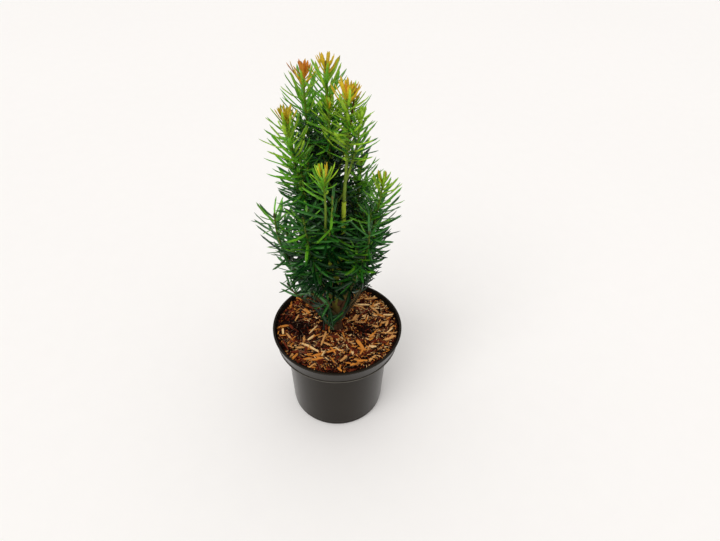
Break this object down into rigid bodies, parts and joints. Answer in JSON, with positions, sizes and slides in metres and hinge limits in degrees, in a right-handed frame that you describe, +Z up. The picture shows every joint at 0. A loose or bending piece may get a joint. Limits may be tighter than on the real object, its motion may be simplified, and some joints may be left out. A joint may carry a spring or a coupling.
{
  "type": "potted young yew",
  "caption": "Young upright evergreen yew with steep needle-clad shoots, standing in a round black nursery pot topped with bark chips.",
  "frame": {"origin": "middle of the pot's flat underside, on the pot's axis", "axes": "+Z up along the pot's axis, -Y towards the front as pictured, +X to the right"},
  "size_m": [0.1337, 0.13, 0.3746],
  "materials": {
    "pot": "semi-gloss moulded plastic",
    "growing_medium": "moist dark compost",
    "bark_chips": "loose shredded bark and wood chips",
    "bark": "young bark, brown below and yellow-green above",
    "needles": "waxy evergreen needles, yellow-green at the tips"
  },
  "bodies": {
    "root": {"bark_chips": "bark_chips", "bough_back": "bark", "bough_back_left": "bark", "bough_back_right": "bark", "bough_front": "bark", "bough_front_left": "bark", "bough_front_right": "bark", "bough_left": "bark", "bough_left_high": "bark", "bough_left_low": "bark", "bough_right": "bark", "bough_right_back": "bark", "bough_right_high": "bark", "growing_medium": "growing_medium", "needles_back": "needles", "needles_back_left": "needles", "needles_back_right": "needles", "needles_front": "needles", "needles_front_left": "needles", "needles_front_right": "needles", "needles_leader": "needles", "needles_left": "needles", "needles_left_high": "needles", "needles_left_low": "needles", "needles_low_back": "needles", "needles_low_back_left": "needles", "needles_low_back_right": "needles", "needles_low_front": "needles", "needles_low_front_right": "needles", "needles_low_front_small": "needles", "needles_low_left": "needles", "needles_low_right": "needles", "needles_low_right_back": "needles", "needles_middle_back": "needles", "needles_middle_front": "needles", "needles_middle_left": "needles", "needles_middle_right": "needles", "needles_right": "needles", "needles_right_back": "needles", "needles_right_high": "needles", "pot": "pot", "trunk": "bark"}
  },
  "joints": []
}
